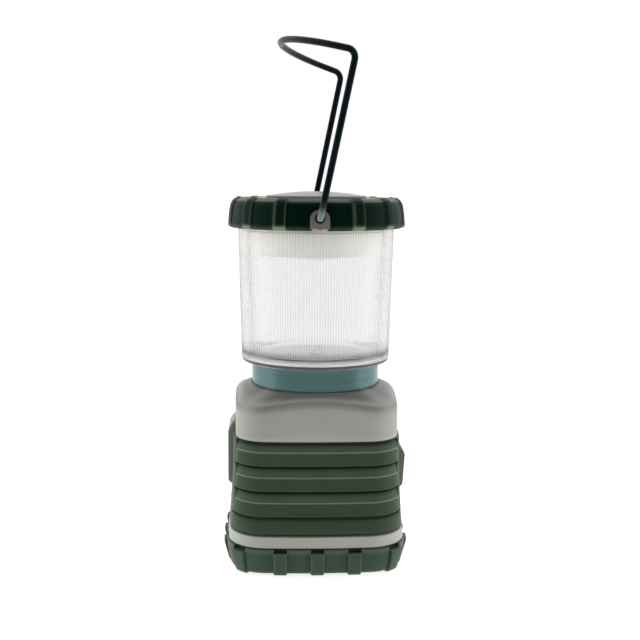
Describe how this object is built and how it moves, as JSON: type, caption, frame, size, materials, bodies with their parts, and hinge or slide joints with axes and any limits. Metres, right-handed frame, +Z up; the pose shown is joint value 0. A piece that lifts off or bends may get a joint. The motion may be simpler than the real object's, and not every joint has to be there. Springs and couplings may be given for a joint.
{
  "type": "camping lantern",
  "caption": "Battery camping lantern with a fluted clear globe, a ribbed bumper cap and boot, a rubber-sleeved square body, a side push switch and a folding wire bail.",
  "frame": {"origin": "on the lantern's axis, at the plane of its feet", "axes": "+Z up along the lantern's axis; -Y the front; -X the switch side; +Y along the bail's hinge"},
  "size_m": [0.0946, 0.107, 0.2632],
  "materials": {
    "coated_wire": "dark powder-coated steel wire, satin",
    "frame_plastic": "warm grey moulded plastic",
    "bumper_rubber": "dark green overmoulded rubber",
    "silver_plastic": "silver-grey moulded plastic",
    "white_plastic": "white reflector plastic",
    "clear_plastic": "clear fluted polycarbonate",
    "seal_rubber": "black seal rubber",
    "brushed_collar": "brushed metal",
    "deck_plastic": "dark grey plastic",
    "sink_metal": "bare cast aluminium",
    "white_board": "white solder mask",
    "led_dome": "cream phosphor under clear silicone",
    "screw_steel": "zinc-plated steel",
    "shell_plastic": "warm grey moulded plastic",
    "sleeve_rubber": "olive green rubber",
    "bezel_plastic": "dark green plastic",
    "button_rubber": "dark green rubber",
    "plunger_plastic": "natural nylon",
    "green_board": "green solder mask",
    "component_black": "moulded component cases",
    "lead_insulation": "red silicone insulation",
    "badge_plastic": "dark green plastic, bare",
    "holder_plastic": "black moulded plastic",
    "cell_can": null,
    "contact_nickel": "nickel-plated spring steel",
    "chassis_plastic": "dark grey-green plastic",
    "boot_rubber": "dark green rubber",
    "door_plastic": "dark grey-green plastic"
  },
  "bodies": {
    "base": {"collar_ring": "brushed_collar", "lamp_deck": "deck_plastic", "heat_sink": "sink_metal", "led_board": "white_board", "led_emitter": "led_dome", "deck_screws": "screw_steel", "body_shell": "shell_plastic", "rubber_sleeve": "sleeve_rubber", "switch_bezel": "bezel_plastic", "driver_board": "green_board", "tact_switch": "component_black", "driver_components": "component_black", "board_screws": "screw_steel", "lead_wires": "lead_insulation", "badge_plate": "badge_plastic", "battery_holder": "holder_plastic", "cell_1": "cell_can", "cell_2": "cell_can", "cell_3": "cell_can", "contact_springs": "contact_nickel", "top_contacts": "contact_nickel", "bottom_contacts": "contact_nickel", "base_frame": "chassis_plastic", "base_boot": "boot_rubber", "case_screws": "screw_steel"},
    "globe_mount": {"globe_seal": "seal_rubber"},
    "lamp_top": {"cap_frame": "frame_plastic", "cap_bumper": "bumper_rubber", "top_plate": "silver_plastic", "top_reflector": "white_plastic", "cap_screws": "screw_steel", "globe": "clear_plastic"},
    "bail": {"bail_handle": "coated_wire"},
    "switch": {"switch_button": "button_rubber", "switch_plunger": "plunger_plastic"},
    "door": {"battery_door": "door_plastic", "door_seal": "seal_rubber"}
  },
  "joints": [
    {"name": "globe_lift", "type": "slide", "parent": "base", "child": "globe_mount", "axis": [0, 0, 1], "range_m": [0, 0.09]},
    {"name": "globe_twist", "type": "hinge", "parent": "globe_mount", "child": "lamp_top", "pos_m": [0, 0, 0.102], "axis": [0, 0, 1], "range_deg": [0, 45]},
    {"name": "bail_swing", "type": "hinge", "parent": "lamp_top", "child": "bail", "pos_m": [0, 0, 0.1756], "axis": [0, 1, 0], "range_deg": [-138, 165]},
    {"name": "switch_press", "type": "slide", "parent": "base", "child": "switch", "axis": [1, 0, 0], "range_m": [0, 0.0012], "stiffness_N_per_m": 1500, "springref_m": -0.0004},
    {"name": "door_twist", "type": "hinge", "parent": "base", "child": "door", "pos_m": [0, 0, 0.004], "axis": [0, 0, -1], "range_deg": [0, 45]}
  ]
}
